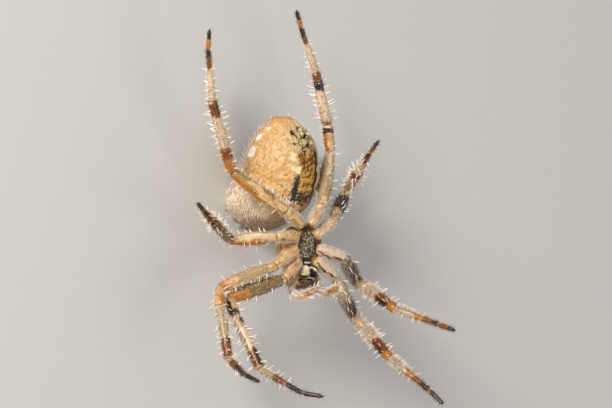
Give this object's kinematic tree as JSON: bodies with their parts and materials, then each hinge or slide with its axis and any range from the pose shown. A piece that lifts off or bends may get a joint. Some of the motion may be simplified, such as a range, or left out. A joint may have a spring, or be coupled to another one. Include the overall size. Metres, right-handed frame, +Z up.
{
  "type": "spider",
  "caption": "Still life-size orb weaver spider lying on its back, belly up, legs raised and bent as if it hung in its web.",
  "frame": {"origin": "centre of the underside of the model's bounding box, at floor level", "axes": "+Z up, out of the belly; +Y from the head to the rear of the abdomen; +X to the spider's own right"},
  "size_m": [0.0218, 0.033, 0.0174],
  "materials": {
    "abdomen_skin": "matt, mottled cream and tan, with fine bristles",
    "leg_cuticle": "translucent cream and amber with dark brown bands",
    "shell_cuticle": "satin brown",
    "breast_plate": "satin near-black with cream flecks",
    "maxilla_cuticle": "satin, dark base and pale cream tip",
    "jaw_cuticle": "glossy orange-brown",
    "epigyne_cuticle": "satin olive-brown",
    "spinneret_cuticle": "dark brown, matt",
    "fang_horn": "polished dark red-brown",
    "eye_lens": "polished black"
  },
  "bodies": {
    "root": {"abdomen": "abdomen_skin", "carapace": "shell_cuticle", "chelicera_left": "jaw_cuticle", "chelicera_right": "jaw_cuticle", "epigyne": "epigyne_cuticle", "eye_front_lateral_left": "eye_lens", "eye_front_lateral_right": "eye_lens", "eye_front_median_left": "eye_lens", "eye_front_median_right": "eye_lens", "eye_rear_lateral_left": "eye_lens", "eye_rear_lateral_right": "eye_lens", "eye_rear_median_left": "eye_lens", "eye_rear_median_right": "eye_lens", "fang_left": "fang_horn", "fang_right": "fang_horn", "labium": "breast_plate", "leg_1_left_coxa": "leg_cuticle", "leg_1_left_femur": "leg_cuticle", "leg_1_left_foot": "leg_cuticle", "leg_1_left_tibia": "leg_cuticle", "leg_1_right_coxa": "leg_cuticle", "leg_1_right_femur": "leg_cuticle", "leg_1_right_foot": "leg_cuticle", "leg_1_right_tibia": "leg_cuticle", "leg_2_left_coxa": "leg_cuticle", "leg_2_left_femur": "leg_cuticle", "leg_2_left_foot": "leg_cuticle", "leg_2_left_tibia": "leg_cuticle", "leg_2_right_coxa": "leg_cuticle", "leg_2_right_femur": "leg_cuticle", "leg_2_right_foot": "leg_cuticle", "leg_2_right_tibia": "leg_cuticle", "leg_3_left_coxa": "leg_cuticle", "leg_3_left_femur": "leg_cuticle", "leg_3_left_foot": "leg_cuticle", "leg_3_left_tibia": "leg_cuticle", "leg_3_right_coxa": "leg_cuticle", "leg_3_right_femur": "leg_cuticle", "leg_3_right_foot": "leg_cuticle", "leg_3_right_tibia": "leg_cuticle", "leg_4_left_coxa": "leg_cuticle", "leg_4_left_femur": "leg_cuticle", "leg_4_left_foot": "leg_cuticle", "leg_4_left_tibia": "leg_cuticle", "leg_4_right_coxa": "leg_cuticle", "leg_4_right_femur": "leg_cuticle", "leg_4_right_foot": "leg_cuticle", "leg_4_right_tibia": "leg_cuticle", "maxilla_left": "maxilla_cuticle", "maxilla_right": "maxilla_cuticle", "palp_left": "leg_cuticle", "palp_right": "leg_cuticle", "pedicel": "shell_cuticle", "spinneret_front_left": "spinneret_cuticle", "spinneret_front_right": "spinneret_cuticle", "spinneret_rear_left": "spinneret_cuticle", "spinneret_rear_right": "spinneret_cuticle", "sternum": "breast_plate"}
  },
  "joints": []
}
